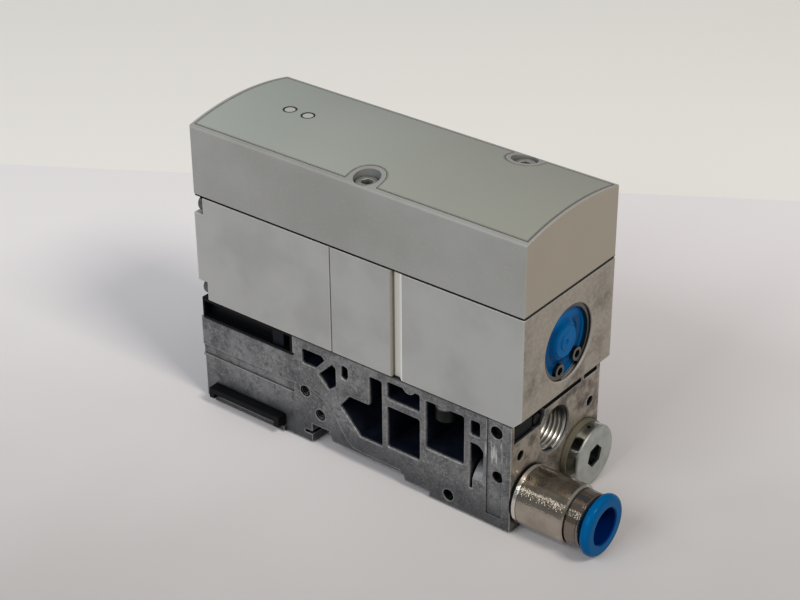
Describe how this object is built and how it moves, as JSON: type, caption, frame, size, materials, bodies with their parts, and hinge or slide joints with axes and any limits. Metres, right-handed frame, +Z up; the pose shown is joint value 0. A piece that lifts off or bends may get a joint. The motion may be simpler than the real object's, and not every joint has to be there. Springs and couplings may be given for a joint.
{
  "type": "proportional pressure regulator",
  "caption": "Proportional pressure regulator of a valve terminal on its cast sub-base, with crowned electronics cover, push-in tube fitting, blanking plug and open port.",
  "frame": {"origin": "centre of the flat seat in the underside that rests on the 35 mm rail, at mid width and on the rail's centre line", "axes": "+X along the length, towards the air ports; +Y across the width, towards the side that takes the next sub-base's plug; +Z up, away from the rail"},
  "size_m": [0.1333, 0.0443, 0.0896],
  "materials": {
    "cast_aluminium": "as cast, tumbled, mottled mid grey",
    "body_aluminium": "fine satin grey, stained at the port end",
    "cover_plastic": "fine satin grey",
    "label_film": "matt printed film, left blank",
    "black_plastic": "satin moulded black",
    "slate_plastic": "satin slate",
    "seal_rubber": "matt black",
    "olive_seal": "matt olive",
    "blue_plastic": "glossy blue",
    "nickel": "nickel plate, lightly scuffed",
    "zinc_steel": "pale zinc plate",
    "screw_steel": "darkened steel",
    "dark_steel": "blackened steel",
    "spring_steel": "bare spring steel",
    "ground_steel": "ground",
    "brass_contact": "bare",
    "copper_wire": "enamelled copper wire",
    "circuit_green": "solder mask",
    "light_pipe": "clear, frosted ends"
  },
  "bodies": {
    "housing": {"sub_base": "cast_aluminium", "pocket_insert": "black_plastic", "insert_screw": "dark_steel", "base_gasket": "seal_rubber", "electronics_carrier": "black_plastic", "window_blocks": "slate_plastic", "link_header": "black_plastic", "bus_board": "circuit_green", "bus_plug": "black_plastic", "bus_contacts": "brass_contact", "bus_socket": "black_plastic", "pilot_housing": "body_aluminium", "intermediate_plate": "body_aluminium", "regulator_body": "body_aluminium", "housing_screws": "dark_steel", "plate_screws": "dark_steel", "mounting_screws": "screw_steel", "top_cover": "cover_plastic", "label_film": "label_film", "status_lights": "light_pipe", "light_chips": "black_plastic", "cover_seal": "seal_rubber", "circuit_board": "circuit_green", "board_standoffs": "zinc_steel", "board_screws": "zinc_steel", "control_chips": "black_plastic", "riser_board": "circuit_green", "pressure_sensor": "zinc_steel", "sensor_seal": "seal_rubber", "coil_frames": "ground_steel", "coil_bobbins": "black_plastic", "coil_windings": "copper_wire", "coil_cores": "ground_steel", "valve_sleeve": "ground_steel", "sleeve_seals": "seal_rubber", "return_spring": "spring_steel", "closing_plug": "blue_plastic", "closing_plug_seal": "seal_rubber", "retaining_ring": "spring_steel", "fitting_body": "nickel", "fitting_cartridge": "nickel", "fitting_seal": "seal_rubber", "tube_seal": "seal_rubber", "grab_ring": "spring_steel", "blanking_plug": "zinc_steel", "blanking_seal": "olive_seal", "armature_spring_near": "spring_steel", "armature_spring_far": "spring_steel"},
    "spool": {"main_spool": "ground_steel", "control_piston": "ground_steel", "piston_seal": "seal_rubber"},
    "armature_near": {"armature_near": "ground_steel"},
    "armature_far": {"armature_far": "ground_steel"},
    "release_ring": {"release_ring": "blue_plastic"}
  },
  "joints": [
    {"name": "spool_slide", "type": "slide", "parent": "housing", "child": "spool", "axis": [1, 0, 0], "range_m": [0, 0.0015], "stiffness_N_per_m": 3000, "springref_m": -0.0005, "deforming": ["return_spring"]},
    {"name": "armature_near_slide", "type": "slide", "parent": "housing", "child": "armature_near", "axis": [-1, 0, 0], "range_m": [0, 0.0005], "stiffness_N_per_m": 500, "springref_m": -0.0004, "deforming": ["armature_spring_near"]},
    {"name": "armature_far_slide", "type": "slide", "parent": "housing", "child": "armature_far", "axis": [-1, 0, 0], "range_m": [0, 0.0005], "stiffness_N_per_m": 500, "springref_m": -0.0004, "deforming": ["armature_spring_far"]},
    {"name": "release_slide", "type": "slide", "parent": "housing", "child": "release_ring", "axis": [-1, 0, 0], "range_m": [0, 0.0008], "stiffness_N_per_m": 2000, "springref_m": -0.0003}
  ]
}
